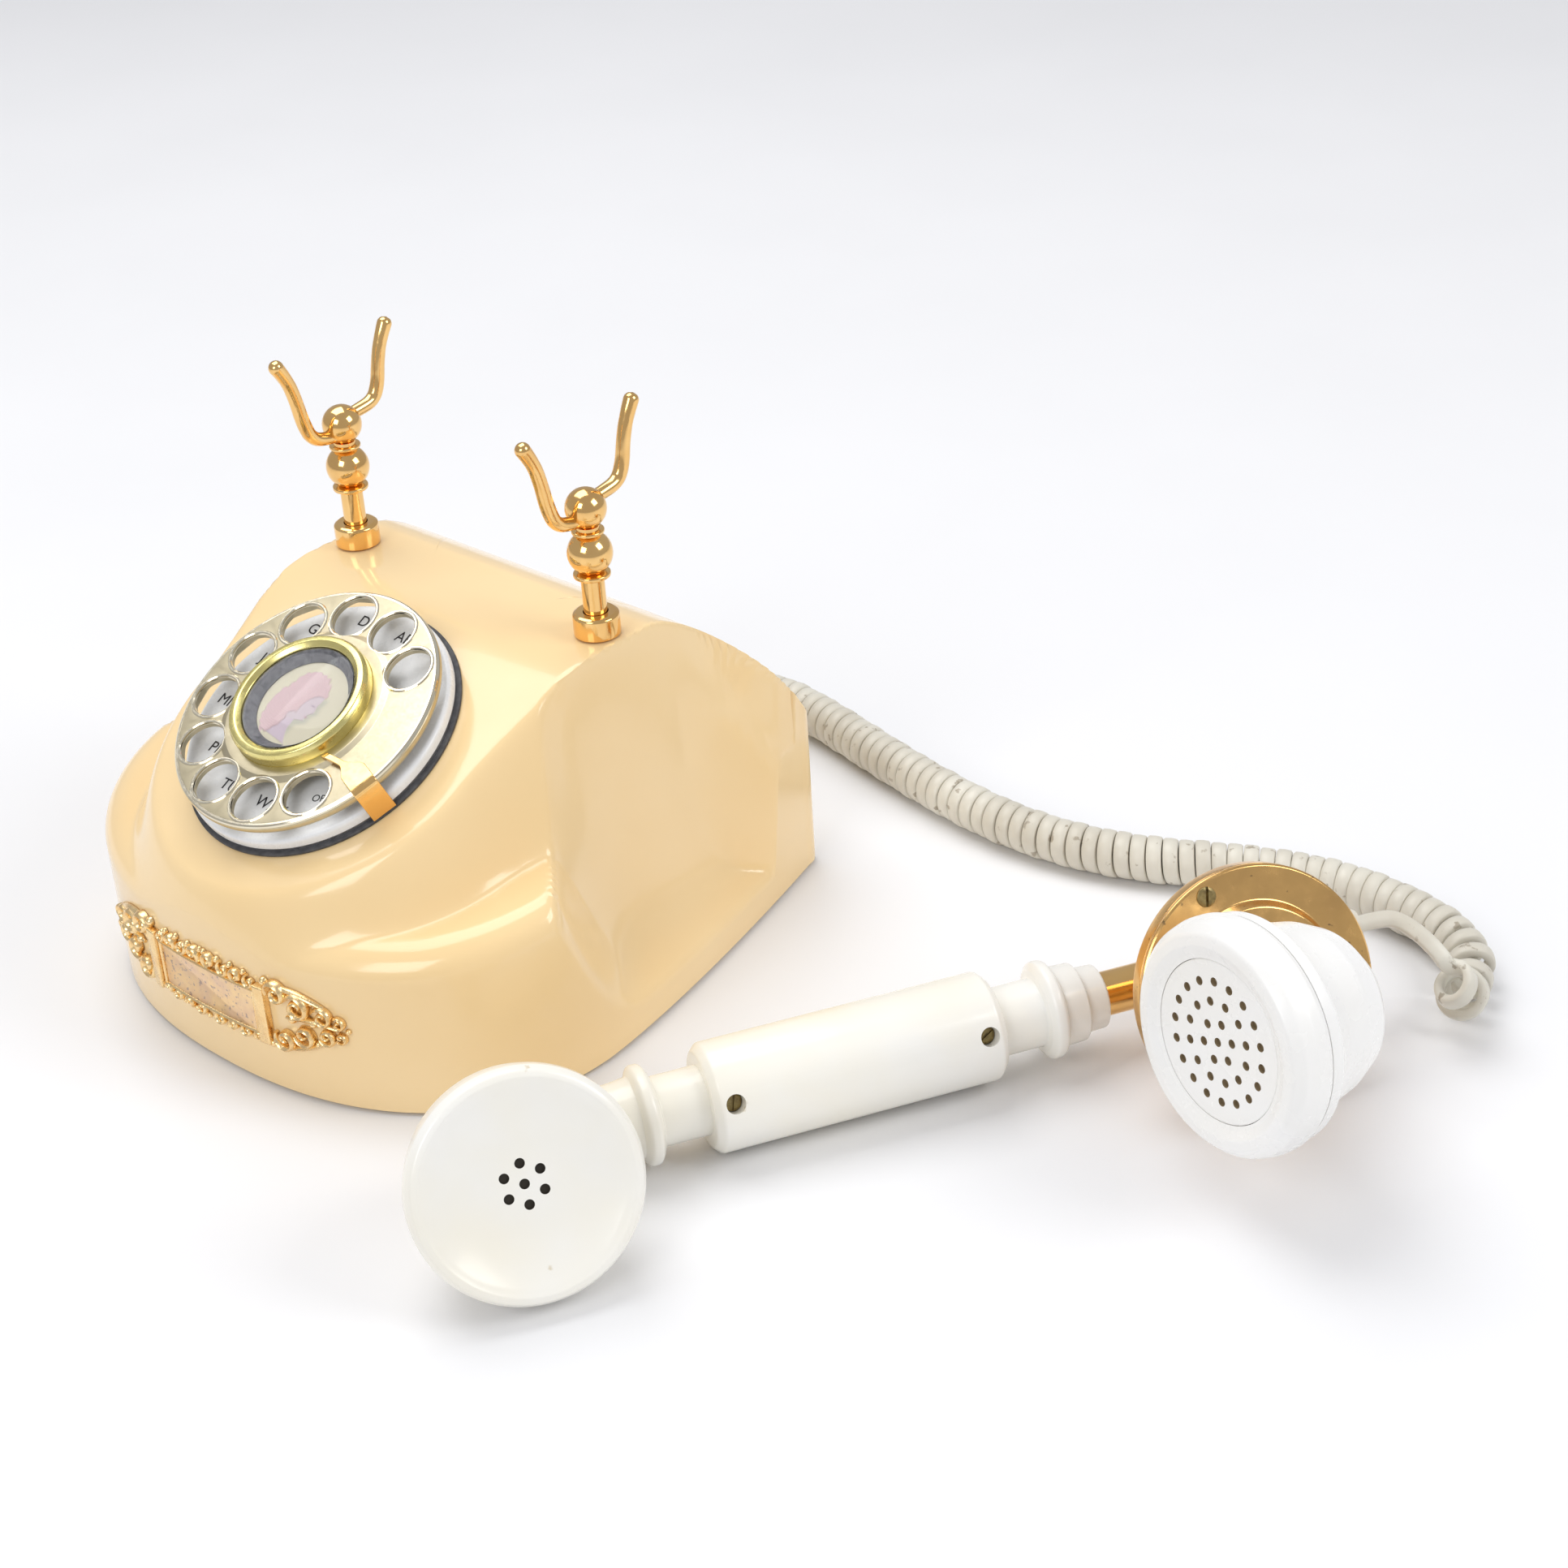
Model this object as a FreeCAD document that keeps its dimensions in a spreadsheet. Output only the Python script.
import FreeCAD, Part
import math
import os

import Sketcher
from FreeCAD import Placement, Rotation, Vector

os.makedirs("parts", exist_ok=True)
doc = FreeCAD.newDocument("cradle_telephone")

# ---------------------------------------------------------------- dimensions
# Millimetres. +Z is up, the dial faces -Y, and the origin is on the table under the base.
SIZES = {
    # housing
    "base_half_width": 82.3, "base_rear_half_width": 60.0, "base_front": 86.5,
    "base_rear": 84.5, "base_widest": -25.0, "front_roundness": 2.3, "rim_height": 1.2,
    "top_height": 97.3, "ridge_rear": 30.0, "deck_half_width": 54.5, "deck_ring": 49.5,
    "deck_flare": 8.0, "flare_start": 45.0, "drum_height": 46.0, "drum_edge": 8.0, "hollow_lip": 11.0,
    "wing_height": 47.0, "wall_scale": 0.968, "rear_corner": 6.0,
    # floor plate, its screws and the pad below it
    "plate_scale": 0.951, "plate_bottom": 2.0, "plate_thick": 1.5, "pad_scale": 0.93,
    "boss_radius": 4.5, "screw_radius": 1.6, "screw_hole": 1.8, "screw_head": 3.5,
    "screw_length": 12.0, "head_thick": 1.1, "boss_x": 50.0, "boss_front": -48.0, "boss_rear": 64.0,
    # dial
    "dial_tilt": 27.16, "dial_y": -42.9, "dial_z": 87.4, "wheel_radius": 38.0,
    "wheel_thick": 2.0, "wheel_lip": 3.2, "lip_wall": 1.2, "hole_pitch_radius": 29.56,
    "hole_radius": 6.8, "first_hole": 44.35, "hole_step": 30.0, "plateau_depth": 11.2,
    "gasket_radius": 39.6, "gasket_bore": 36.4, "gasket_thick": 1.0, "case_radius": 35.5,
    "case_bore": 34.3, "case_flange": 38.2, "case_floor": 37.0, "flange_thick": 1.0,
    "plate_radius": 38.4, "plate_bore": 17.0, "plate_skirt": 37.4, "plate_top": 6.2,
    "bezel_radius": 19.9, "bezel_bore": 16.2, "bezel_height": 5.0, "liner_bore": 13.2,
    "liner_height": 3.4, "card_radius": 13.0, "card_thick": 0.8, "lens_thick": 1.0,
    "shaft_radius": 3.0, "shaft_bush": 3.08, "gear_radius": 16.0, "gear_thick": 1.6,
    "gear_depth": 20.0, "governor_offset": 19.3, "pinion_radius": 3.0, "governor_drum": 6.5,
    "stop_angle": -20.5, "stop_radius": 38.7, "stop_width": 7.0, "stop_thick": 1.1,
    "stop_gap": 0.6, "stop_reach": 20.6,
    # cradle
    "post_x": 46.96, "post_y": 18.5, "collar_radius": 6.2, "collar_height": 6.0,
    "collar_edge": 1.0, "stem_radius": 3.1, "stem_bore": 3.17, "stem_bottom": 62.0,
    "low_ball": 6.05, "low_ball_z": 120.0, "high_ball": 5.5, "high_ball_z": 132.5,
    "disc_radius": 4.95, "upper_disc": 4.4, "disc_thick": 1.2, "neck_radius": 3.2,
    "arm_radius": 1.9, "tip_radius": 2.4, "yoke_thick": 5.0, "yoke_depth": 9.0,
    "spring_radius": 4.2, "spring_wire": 0.5, "bracket_height": 42.0,
    "bracket_thick": 1.6,
    # ringer
    "gong_x": 25.5, "gong_y": 52.0, "gong_radius": 21.5, "gong_height": 12.0,
    "gong_wall": 1.3, "gong_bottom": 12.0, "pivot_y": 34.0, "coil_radius": 7.0,
    "coil_length": 24.0, "clapper_ball": 2.4,
    # handset, along its own axis
    "grip_radius": 14.1, "grip_half": 38.5, "grip_edge": 2.4, "core_radius": 4.2,
    "handset_neck": 8.9, "neck_end": 50.8, "bead_radius": 12.75, "bead_end": 56.0,
    "step_radius": 10.0, "step_end": 62.5, "tip_step_radius": 8.3, "tip_step_end": 68.5,
    "rod_radius": 5.8, "rod_bend": 11.0, "grip_screw_x": 33.3, "grip_screw_radius": 2.5,
    "receiver_x": -90.8, "cap_radius": 28.3, "cap_front": 41.0, "cap_depth": 6.0,
    "dish_depth": 4.8, "dish_hole_pitch": 5.0, "dish_hole": 1.25,
    "bell_radius": 27.6, "bell_depth": 43.0, "bell_wall": 2.2,
    "case_x": 96.2, "ring_radius": 31.0, "ring_back": 29.9, "ring_front": 36.9,
    "hub_radius": 9.0, "hub_back": 12.0, "horn_neck": 8.6, "horn_neck_end": 53.0,
    "mouth_x": 67.0, "mouth_z": 75.9, "mouth_tilt": 16.0, "mouth_radius": 29.1,
    "grille_radius": 20.0, "grille_thick": 1.6, "grille_pitch": 4.94, "grille_hole": 1.05,
    "ring_screw_radius": 2.6, "ring_screw_pitch": 27.2,
    # where the handset lies
    "handset_x": 145.4, "handset_y": -2.3, "handset_z": 15.0, "handset_yaw": 60.8,
    "handset_slope": 0.7, "handset_roll": 65.8,
    # cords
    "curl_radius": 6.7, "tail_radius": 2.1, "cord_exit_x": -34.0, "cord_exit_z": 12.0,
    "line_exit_x": 22.0, "line_exit_z": 18.5, "gland_radius": 5.5, "line_bore": 2.7, "frame_scale": 1.03,
    "ferrule_x": 116.0, "ferrule_y": 6.0, "ferrule_z": 23.0, "ferrule_length": 15.0,
    "ferrule_radius": 5.2, "ferrule_tip": 4.2,
}
S = SIZES

sheet = doc.addObject("Spreadsheet::Sheet", "sizes")
for row, (alias, value) in enumerate(SIZES.items(), start=1):
    sheet.set(f"A{row}", alias)
    sheet.set(f"B{row}", str(value))
    sheet.setAlias(f"B{row}", alias)
doc.recompute()


# ---------------------------------------------------------------- helpers
# A term is a number, an alias ("-alias" for its negative) or a tuple of terms to add up.
def amount(term):
    """The number a term stands for."""
    if isinstance(term, tuple):
        return sum(amount(t) for t in term)
    if isinstance(term, str):
        return -SIZES[term[1:]] if term[0] == "-" else SIZES[term]
    return term


def formula(term):
    """The same term as an expression on the sheet."""
    if isinstance(term, tuple):
        return " + ".join(f"({formula(t)})" for t in term)
    if isinstance(term, str):
        return f"-sizes.{term[1:]}" if term[0] == "-" else f"sizes.{term}"
    return str(term)


def primitive(kind, at=(0, 0, 0), turn=None, **terms):
    """A Part primitive whose sizes and place are bound to the sheet."""
    obj = doc.addObject(f"Part::{kind}", kind)
    if turn:
        obj.Placement.Rotation = turn
    for axis, term in zip("xyz", at):
        if term != 0:
            obj.setExpression(f"Placement.Base.{axis}", formula(term))
    for name, term in terms.items():
        obj.setExpression(name, formula(term))
    return obj


def cylinder(radius, height, at=(0, 0, 0), turn=None):
    return primitive("Cylinder", at, turn, Radius=radius, Height=height)


def ball(radius, at=(0, 0, 0)):
    return primitive("Sphere", at, Radius=radius)


def box(length, width, height, at=(0, 0, 0), turn=None):
    return primitive("Box", at, turn, Length=length, Width=width, Height=height)


def joined(shapes):
    obj = doc.addObject("Part::MultiFuse", "Fuse")
    obj.Shapes = shapes
    return obj


def cut(base, tool):
    obj = doc.addObject("Part::Cut", "Cut")
    obj.Base, obj.Tool = base, tool
    return obj


def group(shapes):
    """Separate solids of one kind that share a node."""
    obj = doc.addObject("Part::Compound", "Group")
    obj.Links = shapes
    return obj


def solid(shape):
    """A free-form shape made with Part's own functions."""
    obj = doc.addObject("Part::Feature", "Shape")
    obj.Shape = shape
    return obj


def turned(outline):
    """A body revolved about its Z axis from (radius, height) corners bound to the sheet."""
    body = doc.addObject("PartDesign::Body", "Turned")
    sketch = body.newObject("Sketcher::SketchObject", "Profile")
    plane = [o for o in body.Origin.OriginFeatures if o.Role == "XZ_Plane"][0]
    sketch.AttachmentSupport = [(plane, "")]
    sketch.MapMode = "FlatFace"
    corners = [Vector(amount(r), amount(h), 0) for r, h in outline]
    count = len(corners)
    for i in range(count):
        sketch.addGeometry(Part.LineSegment(corners[i], corners[(i + 1) % count]), False)
    for i in range(count):
        sketch.addConstraint(Sketcher.Constraint("Coincident", i, 2, (i + 1) % count, 1))
    for i, (r, h) in enumerate(outline):
        for axis, term, value in (("X", r, corners[i].x), ("Y", h, corners[i].y)):
            index = sketch.addConstraint(
                Sketcher.Constraint(f"Distance{axis}", -1, 1, i, 1, value))
            if not isinstance(term, (int, float)):
                sketch.setExpression(f"Constraints[{index}]", formula(term))
    turn = body.newObject("PartDesign::Revolution", "Turn")
    turn.Profile = sketch
    turn.ReferenceAxis = (sketch, ["V_Axis"])
    turn.Angle = 360
    body.Tip = turn
    return body


def bent_wire(points, share=0.45, radius=None, report=None):
    """Straight runs joined by tangent arcs. An arc takes share of its shorter run, or radius."""
    points = [Vector(*p) for p in points]
    edges, start, radii = [], points[0], []
    for a, b, c in zip(points, points[1:], points[2:]):
        back, on = (a - b), (c - b)
        turn = math.pi - back.getAngle(on)
        reach = share * min(back.Length, on.Length)
        if radius:
            reach = min(reach, radius * math.tan(turn / 2))
        back.normalize()
        on.normalize()
        radii.append(reach / math.tan(turn / 2))
        first, last = b + back * reach, b + on * reach
        middle = (back + on).normalize()
        centre = b + middle * math.hypot(radii[-1], reach)
        through = centre - middle * radii[-1]
        edges += [Part.LineSegment(start, first).toShape(), Part.Arc(first, through, last).toShape()]
        start = last
    edges.append(Part.LineSegment(start, points[-1]).toShape())
    wire = Part.Wire(edges)
    if report:
        print(report, "arc radii", [round(r, 1) for r in radii], "length", round(wire.Length, 1))
    return wire


def tube_along(wire, radius):
    """A round bar along a wire, with its volume checked against section times length."""
    start = wire.OrderedVertexes[0].Point
    along = wire.OrderedEdges[0].tangentAt(wire.OrderedEdges[0].FirstParameter)
    ring = Part.Wire(Part.makeCircle(radius, start, along))
    bar = wire.makePipeShell([ring], True, True)
    ratio = bar.Volume / (math.pi * radius ** 2 * wire.Length)
    assert bar.isValid() and abs(ratio - 1) < 0.02, f"tube volume is off by {ratio:.3f}"
    return bar


TO_X = Rotation(Vector(0, 1, 0), 90)
TO_Y = Rotation(Vector(1, 0, 0), -90)
NODES = {}


def node(label, obj, place=None):
    """Gives a finished sub-part its name and its place."""
    obj.Label = label
    if place:
        obj.Placement = place
    NODES[label] = obj
    return obj


# ---------------------------------------------------------------- housing form
def smooth_least(a, b, reach):
    """The lesser of two heights, with the corner between them rounded over reach."""
    near = max(reach - abs(a - b), 0) / reach
    return min(a, b) - near * near * reach / 4


def ease(t):
    """A smooth step from 0 to 1."""
    t = min(max(t, 0), 1)
    return t * t * (3 - 2 * t)


TILT = math.radians(S["dial_tilt"])
DECK_Y = S["dial_y"] + S["plateau_depth"] * math.sin(TILT)
DECK_Z = S["dial_z"] - S["plateau_depth"] * math.cos(TILT)
FRONT_DEPTH = S["base_front"] + S["base_widest"]


def half_width(y):
    """Half the width of the base at y: a rounded front, then sides that draw in."""
    if y < S["base_widest"]:
        t = min((S["base_widest"] - y) / FRONT_DEPTH, 1)
        return S["base_half_width"] * (1 - t ** S["front_roundness"]) ** (1 / S["front_roundness"])
    t = (y - S["base_widest"]) / (S["base_rear"] - S["base_widest"])
    return S["base_half_width"] - (S["base_half_width"] - S["base_rear_half_width"]) * t ** 1.35


def deck_height(y):
    """The centre line: the dial's slope, the level top, and the bulging back."""
    slope = DECK_Z + (y - DECK_Y) * math.tan(TILT)
    rear = max(y - S["ridge_rear"], 0)
    back = S["top_height"] - 0.35 * rear - 0.0112 * rear ** 2
    return smooth_least(smooth_least(slope, S["top_height"], 6), back, 3)


def outside_deck(x, y):
    """How far a point lies outside the raised deck that carries the dial."""
    if y < DECK_Y:
        across = x / S["deck_ring"]
        along = (y - DECK_Y) / (S["deck_ring"] * math.cos(TILT))
        return (math.hypot(across, along) - 1) * S["deck_ring"]
    edge = S["deck_ring"] + (S["deck_half_width"] - S["deck_ring"]) * ease((y - DECK_Y) / 40)
    edge += S["deck_flare"] * ease((y - S["flare_start"]) / 25)
    return abs(x) - edge


def inside_rim(x, y):
    """How far a point lies inside the outline of the base."""
    if y < S["base_widest"]:
        p = S["front_roundness"]
        ratio = (abs(x) / S["base_half_width"]) ** p
        ratio += ((S["base_widest"] - y) / FRONT_DEPTH) ** p
        forward = ease((S["base_widest"] - y) / FRONT_DEPTH)
        reach = S["base_half_width"] + (FRONT_DEPTH - S["base_half_width"]) * forward
        return (1 - ratio ** (1 / p)) * reach
    return half_width(y) - abs(x)


def softened(t, reach):
    """Nearly t, but level at 0 and gathering pace over the reach."""
    return t * t / (t + reach)


def form_height(x, y):
    """The outer surface of the housing above the point (x, y): drum, hollow and wing."""
    deck = deck_height(y)
    out = max(outside_deck(x, y), 0)
    rim = max(inside_rim(x, y), 0)
    share = out / (out + rim + 0.01)
    corner = min(rim, S["drum_edge"])
    lost = S["drum_edge"] - math.sqrt(S["drum_edge"] ** 2 - (S["drum_edge"] - corner) ** 2)
    ledge = S["drum_height"] + 0.16 * (y + 81) - lost
    drop = max(deck - ledge, 0)
    drum = ledge + drop * (1 - ease(out / (7 + 0.25 * drop)))
    bowl = S["hollow_lip"] + 0.5 * rim
    scoop = bowl + max(deck - bowl, 0) * (1 - softened(share, 0.05)) ** 7
    shelf = S["wing_height"] - (4 - math.sqrt(16 - (4 - min(rim, 4)) ** 2))
    wing = shelf + max(deck - shelf, 0) * (1 - softened(share, 0.05)) ** 4
    front_edge = -5 - 0.95 * (abs(x) - 52)
    rear_edge = 62 - 2.1 * (66 - abs(x))
    into_scoop = min(max((y - front_edge + 5) / 30, 0), 1)
    to_scoop = 1 - (1 - min(softened(into_scoop, 0.2) * 1.2, 1)) ** 2.5
    to_wing = ease((y - rear_edge + 7) / 12)
    height = drum + (scoop - drum) * to_scoop
    return height + (wing - height) * to_wing


def footprint():
    """The outline of the base as a face at Z 0."""
    turn = [i / 20 * math.pi for i in range(21)]
    front = [S["base_widest"] - FRONT_DEPTH * math.sin(a) for a in turn]
    reach = [S["base_half_width"] * math.cos(a) for a in turn]
    arc = [Vector(math.copysign(half_width(y), x), y, 0) for x, y in zip(reach, front)]
    arc[0] = Vector(S["base_half_width"], S["base_widest"], 0)
    arc[-1] = Vector(-S["base_half_width"], S["base_widest"], 0)
    arc[10] = Vector(0, -S["base_front"], 0)
    steps = [S["base_widest"] + (S["base_rear"] - S["base_widest"]) * i / 8 for i in range(9)]
    right = [Vector(half_width(y), y, 0) for y in reversed(steps)]
    left = [Vector(-half_width(y), y, 0) for y in steps]
    side = Part.BSplineCurve()
    side.interpolate(right[:-1] + arc + left[1:])
    rear = Part.LineSegment(left[-1], right[0])
    return Part.Face(Part.Wire([side.toShape(), rear.toShape()]))


def moulded_form():
    """The outer form of the housing as one solid, from below the table to its surface."""
    step = 3
    grid = [[Vector(x, y, form_height(x, y)) for y in range(-93, 94, step)]
            for x in range(-87, 88, step)]
    surface = Part.BSplineSurface()
    surface.interpolate(grid)
    block = surface.toShape().extrude(Vector(0, 0, -150))
    prism = footprint().extrude(Vector(0, 0, 130))
    corners = [e for e in prism.Edges if e.BoundBox.ZLength > 100 and e.BoundBox.YMin > 80]
    prism = prism.makeFillet(S["rear_corner"], corners)
    prism.translate(Vector(0, 0, -20))
    return block.common(prism)


DIAL = Placement(Vector(0, S["dial_y"], S["dial_z"]), Rotation(Vector(1, 0, 0), S["dial_tilt"]))
POSTS = [("left", -1), ("right", 1)]
BOSSES = [(x * S["boss_x"], y) for x in (-1, 1) for y in (S["boss_front"], S["boss_rear"])]
FORM = moulded_form()


def make_housing():
    """One moulded shell, open below, with screw bosses, the dial well and the post holes."""
    room = FORM.copy()
    room.scale(S["wall_scale"], Vector(0, -1, 0))
    floor = Part.makeBox(300, 300, 40, Vector(-150, -150, S["rim_height"] - 40))
    shell = FORM.cut(floor).cut(room)
    boss_foot = S["plate_bottom"] + S["plate_thick"]
    for x, y in BOSSES:
        boss = Part.makeCylinder(S["boss_radius"], 120, Vector(x, y, boss_foot))
        shell = shell.fuse(boss.common(FORM))
        hole = Part.makeCylinder(S["screw_hole"], S["screw_length"], Vector(x, y, boss_foot))
        shell = shell.cut(hole)
    well = Part.makeCylinder(S["case_radius"] + 0.6, 80, Vector(0, 0, -60))
    well.Placement = DIAL.multiply(well.Placement)
    shell = shell.cut(well)
    for _, side in POSTS:
        at = Vector(side * S["post_x"], S["post_y"], 60)
        shell = shell.cut(Part.makeCylinder(S["stem_radius"] + 0.5, 60, at))
    for cord in ("cord", "line"):
        at = Vector(S[f"{cord}_exit_x"], 60, S[f"{cord}_exit_z"])
        shell = shell.cut(Part.makeCylinder(S["gland_radius"], 60, at, Vector(0, 1, 0)))
    node("housing", solid(shell))


def make_floor():
    """Steel floor plate, its four screws, and the rubber pad that the base stands on."""
    def sheet_of(scale, bottom, thick, hole):
        shape = footprint()
        shape.scale(S[scale], Vector(0, -1, 0))
        shape = shape.extrude(Vector(0, 0, thick))
        shape.translate(Vector(0, 0, bottom))
        for x, y in BOSSES:
            shape = shape.cut(Part.makeCylinder(hole, 10, Vector(x, y, 0)))
        return solid(shape)
    node("base_plate", sheet_of("plate_scale", S["plate_bottom"], S["plate_thick"], S["screw_hole"]))
    node("base_pad", sheet_of("pad_scale", 0, S["plate_bottom"], S["screw_head"] + 0.6))
    screws = []
    for x, y in BOSSES:
        head = cylinder("screw_head", "head_thick", (x, y, ("plate_bottom", "-head_thick")))
        shank = cylinder("screw_radius", "screw_length", (x, y, "plate_bottom"))
        screws.append(joined([head, shank]))
    node("base_screws", group(screws))


# ---------------------------------------------------------------- dial
def make_dial_base():
    """What stays still: gasket, steel case, numbered plate and finger stop."""
    low = ("-plateau_depth",)
    rim = (*low, "gasket_thick")
    node("dial_gasket", turned([("gasket_bore", low), ("gasket_radius", low),
                                ("gasket_radius", rim), ("gasket_bore", rim)]), DIAL)
    top = (*rim, "flange_thick")
    bottom = "-case_floor"
    inside = ("-case_floor", 1.2)
    node("dial_case", turned([
        ("shaft_bush", bottom), ("case_radius", bottom), ("case_radius", rim),
        ("case_flange", rim), ("case_flange", top), ("case_bore", top),
        ("case_bore", inside), ("shaft_bush", inside)]), DIAL)
    under = ("-plate_top", -0.8)
    node("number_plate", turned([
        ("plate_skirt", top), ("plate_radius", top), ("plate_radius", "-plate_top"),
        ("plate_bore", "-plate_top"), ("plate_bore", under), ("plate_skirt", under)]), DIAL)
    foot = ("-plateau_depth", "gasket_thick")
    leg_height = ("plateau_depth", "-gasket_thick", "stop_gap")
    half, root = S["stop_width"] / 2, 31.0
    leg = box("stop_thick", "stop_width", leg_height, ("stop_radius", -half, foot))
    bar = box(("stop_radius", "stop_thick", -root), "stop_width", "stop_thick", (root, -half, "stop_gap"))
    tip = [Vector(root, -half, S["stop_gap"]), Vector(root, half, S["stop_gap"]),
           Vector(S["stop_reach"], -2.9, S["stop_gap"]), Vector(S["stop_reach"] - 0.2, -4.4, S["stop_gap"])]
    tail = solid(Part.Face(Part.makePolygon(tip + tip[:1])).extrude(Vector(0, 0, S["stop_thick"])))
    turn = Placement(Vector(), Rotation(Vector(0, 0, 1), S["stop_angle"]))
    node("finger_stop", joined([leg, bar, tail]), DIAL.multiply(turn))


def make_dial_wheel():
    """What turns: the wheel with ten finger holes, its centre trim, shaft and gear."""
    lip = ("-wheel_lip",)
    wheel = turned([
        (0, "-wheel_thick"), (("wheel_radius", "-lip_wall"), "-wheel_thick"),
        (("wheel_radius", "-lip_wall"), lip), ("wheel_radius", lip), ("wheel_radius", -0.4),
        (("wheel_radius", -0.4), 0), (0, 0)])
    holes = []
    for i in range(10):
        angle = math.radians(S["first_hole"] + i * S["hole_step"])
        at = (S["hole_pitch_radius"] * math.cos(angle), S["hole_pitch_radius"] * math.sin(angle), -5)
        holes.append(cylinder("hole_radius", 8, at))
    node("finger_wheel", cut(wheel, joined(holes)), DIAL)
    high = "bezel_height"
    node("dial_bezel", turned([
        ("bezel_bore", 0), ("bezel_radius", 0), ("bezel_radius", (high, -1.2)),
        (("bezel_radius", -0.5), (high, -0.4)), (("bezel_radius", -1.6), high),
        (("bezel_bore", 1.0), high), ("bezel_bore", (high, -0.7))]), DIAL)
    node("bezel_liner", turned([
        ("liner_bore", 0), (("bezel_bore", -0.05), 0), (("bezel_bore", -0.05), "liner_height"),
        ("liner_bore", ("liner_height", -1.6))]), DIAL)
    node("cameo_card", cylinder("card_radius", "card_thick"), DIAL)
    lens_foot = ("liner_height", 0.05)
    lens_top = (*lens_foot, "lens_thick")
    node("cameo_lens", turned([
        (0, lens_foot), (("bezel_bore", -0.05), lens_foot), (("bezel_bore", -0.05), (*lens_foot, 0.3)),
        (("bezel_bore", -5), (*lens_top, -0.2)), (0, lens_top)]), DIAL)
    end = ("-case_floor", -1.5)
    node("dial_shaft", turned([(0, end), ("shaft_radius", end), ("shaft_radius", "-wheel_thick"),
                               (0, "-wheel_thick")]), DIAL)
    gear_top = ("-gear_depth", "gear_thick")
    node("main_gear", turned([
        ("shaft_radius", "-gear_depth"), ("gear_radius", "-gear_depth"),
        ("gear_radius", gear_top), ("shaft_radius", gear_top)]), DIAL)
    pinion = cylinder("pinion_radius", 6.0, ("governor_offset", 0, (-2.0, "-gear_depth")))
    drum = cylinder("governor_drum", 6.0, ("governor_offset", 0, (-9.0, "-gear_depth")))
    spindle = cylinder(1.0, 22.0, ("governor_offset", 0, (-14.0, "-gear_depth")))
    node("governor", joined([pinion, drum, spindle]), DIAL)


# ---------------------------------------------------------------- cradle
def make_collar(name, side):
    foot = "top_height"
    top = (foot, "collar_height")
    bush = turned([
        ("stem_bore", foot), ("collar_radius", foot), ("collar_radius", (*top, "-collar_edge")),
        (("collar_radius", "-collar_edge"), top), ("stem_bore", top)])
    node(f"{name}_collar", bush, Placement(Vector(side * S["post_x"], S["post_y"], 0), Rotation()))


def make_post(name, side):
    """A plunger stem with its turned balls, and the fork that it carries."""
    place = Placement(Vector(side * S["post_x"], S["post_y"], 0), Rotation())
    under = ("low_ball_z", "-low_ball")
    over = ("low_ball_z", "low_ball", -0.5)
    neck_top = ("high_ball_z", "-high_ball", 0.4)
    stem = joined([
        cylinder("stem_radius", (*under, 0.5, "-stem_bottom"), (0, 0, "stem_bottom")),
        cylinder("disc_radius", "disc_thick", (0, 0, (*under, -0.6))),
        ball("low_ball", (0, 0, "low_ball_z")),
        cylinder("upper_disc", "disc_thick", (0, 0, over)),
        cylinder("neck_radius", (*neck_top, "-low_ball_z"), (0, 0, "low_ball_z"))])
    seat = ball("high_ball", (0, 0, "high_ball_z"))
    node(f"{name}_stem", cut(stem, seat), place)
    base = S["high_ball_z"]
    arms = []
    for way in (-1, 1):
        route = [(0, 2 * way, base - 2), (0, 8.4 * way, base - 1.8), (0, 12.6 * way, base + 3.5),
                 (0, 15.0 * way, base + 13.5), (0, 19.2 * way, base + 22)]
        arms.append(solid(tube_along(bent_wire(route), S["arm_radius"])))
        arms.append(ball("tip_radius", (0, 19.2 * way, base + 22)))
    crown = ball("high_ball", (0, 0, "high_ball_z"))
    node(f"{name}_fork", joined([crown, *arms]), place)


def make_cradle_works():
    """Inside: the yoke that joins the stems, its springs, their bracket and the switch."""
    half = S["post_x"] + 5
    y0 = S["post_y"] - S["yoke_depth"] / 2
    yoke = box(2 * half, "yoke_depth", "yoke_thick",
               (-half, y0, ("stem_bottom", "-yoke_thick")))
    node("cradle_yoke", yoke)
    seat = S["bracket_height"] + S["bracket_thick"]
    room = S["stem_bottom"] - S["yoke_thick"] - seat
    coils = []
    for _, side in POSTS:
        turns = 5
        for i in range(turns):
            z = seat + S["spring_wire"] + (room - 2 * S["spring_wire"]) * i / (turns - 1)
            ring = primitive("Torus", (side * S["post_x"], S["post_y"], z),
                             Radius1="spring_radius", Radius2="spring_wire")
            coils.append(ring)
    node("cradle_springs", group(coils))
    floor = S["plate_bottom"] + S["plate_thick"]
    shelf = box(2 * half, "yoke_depth", "bracket_thick", (-half, y0, "bracket_height"))
    legs = [box("bracket_thick", "yoke_depth", S["bracket_height"] - floor + 0.5,
                (x, y0, floor)) for x in (-half, half - S["bracket_thick"])]
    node("cradle_bracket", joined([shelf, *legs]))
    block = box(20, 8, 5, (-10, y0, seat))
    leaves = [box(16, 5, 0.4, (-6, y0 + 1.5, seat + 1.2 + gap)) for gap in (4.2, 5.4)]
    studs = box(3, 5, 2.1, (-6, y0 + 1.5, seat + 4.9))
    node("hook_switch", joined([block, studs, *leaves]))


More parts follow.
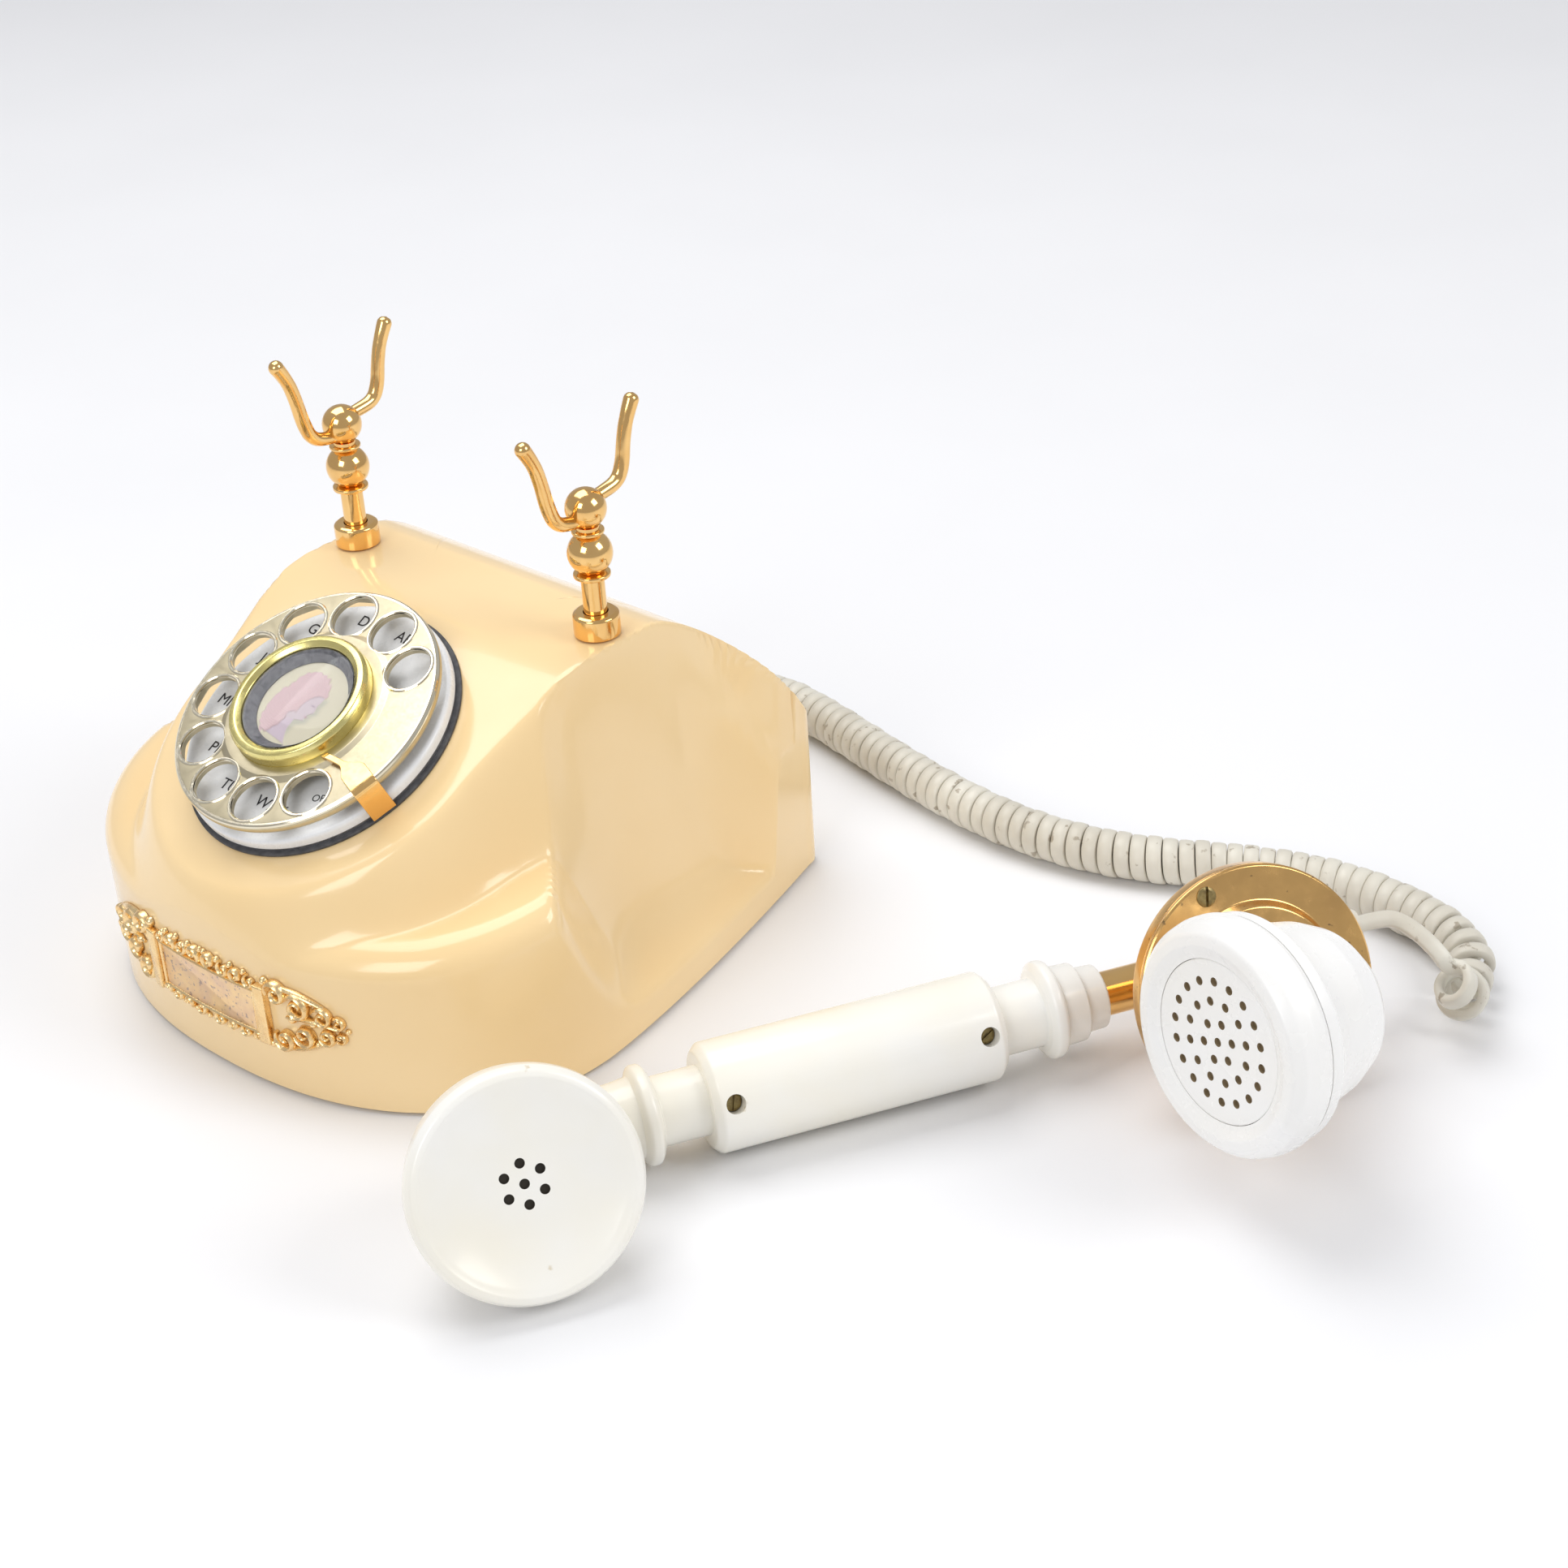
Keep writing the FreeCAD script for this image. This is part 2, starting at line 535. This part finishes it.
# ---------------------------------------------------------------- ringer and wiring
def make_ringer():
    """Two gongs with a clapper between them, worked by a pair of coils."""
    top = ("gong_bottom", "gong_height")
    for name, side in POSTS:
        inner = ("gong_radius", "-gong_wall")
        ceiling = (*top, "-gong_wall")
        gong = turned([
            (inner, "gong_bottom"), ("gong_radius", "gong_bottom"), ("gong_radius", (*top, -5)),
            (("gong_radius", -5), top), (2.1, top), (2.1, ceiling), ((*inner, -4.6), ceiling),
            (inner, (*ceiling, -4.4))])
        node(f"{name}_gong", gong,
             Placement(Vector(side * S["gong_x"], S["gong_y"], 0), Rotation()))
    floor = S["plate_bottom"] + S["plate_thick"]
    seat = S["gong_bottom"] + S["gong_height"] - S["gong_wall"] - floor
    frame = [box(78, 46, 1.2, (-39, 13, floor))]
    coils = []
    for _, side in POSTS:
        at = (side * S["gong_x"], "gong_y", floor)
        frame.append(cylinder(3.2, seat, at))
        frame.append(cylinder(2.0, seat + 3.4, at))
        middle = side * 20
        frame.append(box(20, 6, 1.3, (middle - 10, 18, floor + 1.2)))
        start = middle - S["coil_length"] / 2
        at = (start, 21, floor + 2.5 + S["coil_radius"])
        coils.append(cylinder("coil_radius", "coil_length", at, TO_X))
    frame.append(cylinder(2.4, 13.2, (0, "pivot_y", floor)))
    frame.append(cylinder(1.4, 17.4, (0, "pivot_y", floor)))
    node("ringer_frame", joined(frame))
    node("ringer_coils", group(coils))
    hub = cut(cylinder(3.0, 3.0, (0, "pivot_y", 17)), cylinder(1.47, 5.0, (0, "pivot_y", 16)))
    reach = S["gong_y"] - S["pivot_y"]
    arm = cylinder(0.8, reach - 2.2, (0, ("pivot_y", 2.2), 18.5), TO_Y)
    knob = ball("clapper_ball", (0, "gong_y", 18.5))
    node("clapper", joined([hub, arm, knob]))


def make_wiring():
    """The circuit board and the two cord entries in the rear wall."""
    floor = S["plate_bottom"] + S["plate_thick"]
    board = box(80, 44, 1.6, (-40, -66, floor + 5))
    pillars = [cylinder(2.2, 5.2, (x, y, floor)) for x in (-34, 34) for y in (-60, -28)]
    cans = [cylinder(5, 12, (-22, -44, floor + 6)), box(18, 13, 9, (2, -50, floor + 6))]
    terminals = [box(6, 5, 4, (x, -30, floor + 6)) for x in range(-18, 19, 9)]
    node("network_board", joined([board, *pillars, *cans, *terminals]))
    rear = S["base_rear"]
    for name, cord, bore in (("handset_cord_gland", "cord", "tail_radius"),
                             ("line_cord_grommet", "line", "line_bore")):
        gland = turned([
            (bore, -4.6), (("gland_radius", 1.3), -4.6), (("gland_radius", 1.3), -2.9),
            (("gland_radius", -0.1), -2.9), (("gland_radius", -0.1), 0), (("gland_radius", 1.3), 0),
            (("gland_radius", 0.9), 1.6), (bore, 1.6)])
        exit_at = Vector(S[f"{cord}_exit_x"], rear + 0.05, S[f"{cord}_exit_z"])
        node(name, gland, Placement(exit_at, TO_Y))


# ---------------------------------------------------------------- trim
def make_escutcheon():
    """The cast frame on the front wall: a panel between two bars, and a scroll at each end."""
    half = [(0, 37.5), (7, 36.5), (14, 37), (20, 36), (25, 38.5), (33, 39.5), (39, 35), (43, 32),
            (47, 29.5), (47, 24.5), (43, 22.5), (39, 20), (33, 14), (25, 13.5), (20, 15),
            (14, 14), (7, 15), (0, 14)]
    outline = [Vector(x, 0, z) for x, z in half] + [Vector(-x, 0, z) for x, z in reversed(half[1:-1])]
    face = Part.Face(Part.makePolygon(outline + outline[:1]))
    block = face.extrude(Vector(0, 30, 0))
    block.translate(Vector(0, -100, 0))
    outer = footprint()
    outer.scale(S["frame_scale"], Vector(0, 0, 0))
    wall = footprint().extrude(Vector(0, 0, 60))
    frame = block.common(outer.extrude(Vector(0, 0, 60))).cut(wall)
    node("front_escutcheon", solid(frame))


# ---------------------------------------------------------------- handset
# In its own frame: X along the grip towards the transmitter, Z out of the receiver's face.
def handset_place():
    turn = Rotation(Vector(0, 0, 1), S["handset_yaw"])
    turn = turn.multiply(Rotation(Vector(0, 1, 0), -S["handset_slope"]))
    turn = turn.multiply(Rotation(Vector(1, 0, 0), S["handset_roll"]))
    return Placement(Vector(S["handset_x"], S["handset_y"], S["handset_z"]), turn)


HANDSET = handset_place()


def on_handset(at, turn=None):
    """A place in the handset's own frame, carried to where the handset lies."""
    return HANDSET.multiply(Placement(Vector(*at), turn or Rotation()))


def make_grip():
    """The grip tube and the turned pieces at its ends."""
    length = ("grip_half", "grip_half")
    inner = ("grip_radius", "-grip_edge")
    sleeve = turned([
        ("core_radius", 0), (inner, 0), (("grip_radius", -0.7), 0.7), ("grip_radius", "grip_edge"),
        ("grip_radius", (*length, "-grip_edge")), (("grip_radius", -0.7), (*length, -0.7)),
        (inner, length), ("core_radius", length)])
    sleeve.Placement = Placement(Vector(-S["grip_half"], 0, 0), TO_X)
    pockets = [cylinder("grip_screw_radius", 8, (x, 0, ("grip_radius", -5.5)))
               for x in ("grip_screw_x", "-grip_screw_x")]
    node("handle_sleeve", cut(sleeve, joined(pockets)), HANDSET)
    screws = []
    for x in ("grip_screw_x", "-grip_screw_x"):
        head = cylinder(2.4, 1.8, (x, 0, ("grip_radius", -5.4)))
        slot = box(6, 0.8, 1.0, ((x, -3), -0.4, ("grip_radius", -4.2)))
        screws.append(cut(head, slot))
    node("handle_screws", group(screws), HANDSET)

    def shoulder(face):
        return [("core_radius", "grip_half"), ("handset_neck", "grip_half"),
                ("handset_neck", "neck_end"), (("bead_radius", -1.6), "neck_end"),
                ("bead_radius", ("neck_end", 1.8)), ("bead_radius", ("bead_end", -1.8)),
                (("bead_radius", -1.6), "bead_end"), ("step_radius", "bead_end"), *face]
    rod_bore = ("rod_radius", 0.02)
    right = turned(shoulder([
        ("step_radius", "step_end"), ("tip_step_radius", "step_end"),
        ("tip_step_radius", "tip_step_end"), (rod_bore, "tip_step_end"),
        (rod_bore, 60), ("core_radius", 60)]))
    node("transmitter_turning", right, on_handset((0, 0, 0), TO_X))
    left = turned(shoulder([("step_radius", 60), (8.6, 80), (6.0, 86), ("core_radius", 86)]))
    left.Placement = Placement(Vector(), Rotation(Vector(0, 1, 0), -90))
    form = turned([(0, 0), ("bell_radius", 0), ("bell_radius", "-cap_depth")] + bell(0))
    form.Placement = Placement(Vector(S["receiver_x"], 0, S["cap_front"]), Rotation())
    node("receiver_turning", cut(left, form), HANDSET)


def bell(wall):
    """The rounded bell that both ends share, as (radius, -depth) corners behind its mouth."""
    rows = [(0, 9.5), (1.6, 14), (4.1, 20), (8.6, 27), (12.1, 33), (16.6, 38), (21.6, 41.5)]
    corners = [(("bell_radius", -drop - wall), -deep if deep == 9.5 else -deep + 0.35 * wall)
               for drop, deep in rows]
    return corners + [(0, ("-bell_depth", wall))]


def make_receiver():
    """The earpiece: a deep cup, its capsule and a dished cap with seven holes."""
    place = on_handset((S["receiver_x"], 0, S["cap_front"]))
    wall = S["bell_wall"]
    joint = "-cap_depth"
    inner = ("bell_radius", "-bell_wall")
    node("receiver_cup", turned(
        [("bell_radius", joint)] + bell(0) + list(reversed(bell(wall))) + [(inner, joint)]), place)
    dish = ("-dish_depth",)
    cap = turned([
        (0, (*dish, -1.8)), (10, (*dish, -1.2)), (("bell_radius", -5), joint),
        ("cap_radius", joint), ("cap_radius", -2.2), (("cap_radius", -0.9), -0.6),
        (("cap_radius", -2.4), 0), (("cap_radius", -4.0), -0.7), (14, (*dish, 1.3)), (7, dish), (0, dish)])
    holes = [cylinder("dish_hole", 8, (0, 0, (*dish, -5)))]
    for i in range(6):
        a = math.radians(60 * i + 31.5)
        at = (S["dish_hole_pitch"] * math.cos(a), S["dish_hole_pitch"] * math.sin(a), (*dish, -5))
        holes.append(cylinder("dish_hole", 8, at))
    node("receiver_cap", cut(cap, joined(holes)), place)
    capsule = turned([(0, -22), (18, -22), (18, -10), (0, -10)])
    node("receiver_capsule", capsule, place)


def make_transmitter():
    """The mouthpiece end: gilt rod and case, stepped ring, and the white elbow horn."""
    reach = S["case_x"]
    rod = tube_along(bent_wire([(60, 0, 0), (reach, 0, 0), (reach, 0, S["hub_back"])],
                               0.99, S["rod_bend"]), S["rod_radius"])
    node("connecting_rod", solid(rod), HANDSET)
    place = on_handset((reach, 0, 0))
    back, front = "ring_back", "ring_front"
    node("transmitter_case", turned([
        (0, "hub_back"), ("hub_radius", "hub_back"), ("hub_radius", ("hub_back", 4)),
        (("ring_radius", -7), (back, -5)), (("ring_radius", -0.6), back), ("ring_radius", (back, 0.6)),
        ("ring_radius", (front, -1.6)), (("ring_radius", -2), (front, -1.6)),
        (("ring_radius", -2), (back, 1)), (("ring_radius", -8), (back, -3)),
        ("hub_radius", ("hub_back", 6)), (0, ("hub_back", 6))]), place)
    node("transmitter_ring", turned([
        ("horn_neck", (front, -1.6)), ("ring_radius", (front, -1.6)), ("ring_radius", (front, -0.5)),
        (("ring_radius", -0.5), front), (21.6, front), (20.4, (front, 2.4)), (14.0, (front, 2.8)),
        (11.2, (front, 5.4)), ("horn_neck", (front, 5.4))]), place)
    node("transmitter_capsule", turned([
        (0, ("hub_back", 9)), (17.5, (back, -1.5)), (17.5, (front, -2)), (0, (front, -2))]), place)
    aim = Rotation(Vector(0, 1, 0), S["mouth_tilt"] - 90)
    local_mouth = Placement(Vector(S["mouth_x"], 0, S["mouth_z"]), aim)
    mouth = HANDSET.multiply(local_mouth)

    wall = S["bell_wall"]
    shell = turned(bell(0) + list(reversed(bell(wall))))
    shell.Placement = local_mouth
    inner = turned([(0, -9.5)] + bell(wall))
    inner.Placement = local_mouth
    neck_foot = S["ring_front"] + 5.4
    stub = cylinder(10.2, ("horn_neck_end", -neck_foot), (reach, 0, neck_foot))
    throat = cylinder(6.0, 40, (reach, 0, 30))
    elbow = cut(joined([shell, cut(stub, inner)]), throat)
    node("horn_elbow", elbow, HANDSET)
    node("horn_rim", turned([
        ("grille_radius", -4.0), (23.5, -4.0), (25.5, -9.5), (28.2, -9.5), (("mouth_radius", -0.3), -7.5),
        ("mouth_radius", -5.4), (("mouth_radius", -0.5), -2.4), (27.0, 0.4), (25.0, 1.6),
        (23.0, 1.6), (21.2, 0.6), (("grille_radius", 0.2), 0)]), mouth)
    plate = cylinder(("grille_radius", -0.02), "grille_thick", (0, 0, "-grille_thick"))
    holes = [cylinder("grille_hole", 4, (0, 0, -3))]
    for ring, count in ((1, 6), (2, 12), (3, 18)):
        for i in range(count):
            a = 2 * math.pi * i / count
            r = ring * S["grille_pitch"]
            holes.append(cylinder("grille_hole", 4, (r * math.cos(a), r * math.sin(a), -3)))
    node("horn_grille", cut(plate, joined(holes)), mouth)
    screws = []
    for angle in (-10, 110, 230):
        a = math.radians(angle)
        at = (S["ring_screw_pitch"] * math.cos(a), S["ring_screw_pitch"] * math.sin(a), front)
        screws.append(cylinder("ring_screw_radius", 0.7, at))
    node("ring_screws", group(screws), place)
    ferrule = turned([
        ("tail_radius", 0), ("ferrule_radius", 0), ("ferrule_radius", 4), ("ferrule_tip", "ferrule_length"),
        ("tail_radius", "ferrule_length")])
    ferrule.Placement = Placement(Vector(S["ferrule_x"], S["ferrule_y"], S["ferrule_z"]), TO_X)
    dome = turned([
        (0, "hub_back"), ("hub_radius", "hub_back"), ("hub_radius", ("hub_back", 4)),
        (("ring_radius", -7), (back, -5)), (("ring_radius", -0.6), back), ("ring_radius", (back, 0.6)),
        ("ring_radius", front), (0, front)])
    dome.Placement = Placement(Vector(reach, 0, 0), Rotation())
    node("cord_ferrule", cut(ferrule, dome), HANDSET)


# ---------------------------------------------------------------- handset cord
CURL_Z = S["curl_radius"] + 0.3
CURL_ROUTE = [
    (-34, 112, CURL_Z), (-31, 126, CURL_Z), (-20, 137, CURL_Z), (-3, 141, CURL_Z),
    (18, 137.5, CURL_Z), (46, 130.5, CURL_Z), (74, 124.5, CURL_Z), (100, 121.5, CURL_Z),
    (124, 123.5, CURL_Z), (146, 131, CURL_Z), (166, 142, CURL_Z), (188, 150, CURL_Z),
    (207, 151, CURL_Z), (226, 148, CURL_Z), (240, 139, CURL_Z), (245, 126, CURL_Z)]


def make_cords():
    """The curly cord as a fat tube on the table, and its straight tails."""
    wire = bent_wire(CURL_ROUTE, report="curly cord")
    curl = tube_along(wire, S["curl_radius"])
    node("handset_cord", solid(curl))
    inner_end = (S["cord_exit_x"], S["base_rear"] + 1.7, S["cord_exit_z"])
    tail = bent_wire([inner_end, (-34, 96, 11.5), (-34, 104, 8.5), (-34, 112, CURL_Z)],
                     report="base tail")
    node("cord_tail_base", solid(tube_along(tail, S["tail_radius"]).cut(curl)))
    end_x = S["ferrule_x"] + S["ferrule_length"]
    socket, ahead = (on_handset((x, S["ferrule_y"], S["ferrule_z"])).Base for x in (end_x + 0.1, end_x + 7))
    route = [tuple(socket), tuple(ahead), (251, 112, 19), (248, 119, 10), (245, 126, CURL_Z)]
    tail = bent_wire(route, report="handset tail")
    node("cord_tail_handset", solid(tube_along(tail, S["tail_radius"]).cut(curl)))


# ---------------------------------------------------------------- build and write
make_housing()
make_floor()
make_dial_base()
make_dial_wheel()
for post_name, post_side in POSTS:
    make_collar(post_name, post_side)
    make_post(post_name, post_side)
make_cradle_works()
make_ringer()
make_wiring()
make_escutcheon()
make_grip()
make_receiver()
make_transmitter()
make_cords()
doc.recompute()

faults = [f"{o.Name}: {o.State}" for o in doc.Objects if {"Invalid", "Error"} & set(o.State)]
for label, obj in NODES.items():
    shape = obj.Shape
    if shape.isNull() or not shape.isValid() or not shape.Solids:
        faults.append(f"{label}: bad shape")
        continue
    bounds = shape.optimalBoundingBox()
    print(f"{label:22s} solids {len(shape.Solids):2d} volume {shape.Volume / 1000:8.2f} cm3 "
          f"x {bounds.XMin:7.1f} {bounds.XMax:7.1f} y {bounds.YMin:7.1f} {bounds.YMax:7.1f} "
          f"z {bounds.ZMin:6.1f} {bounds.ZMax:6.1f}")
if faults:
    raise SystemExit("\n".join(faults))
for label, obj in NODES.items():
    obj.Shape.exportStep(f"parts/{label}.step")
print(len(NODES), "sub-parts written")
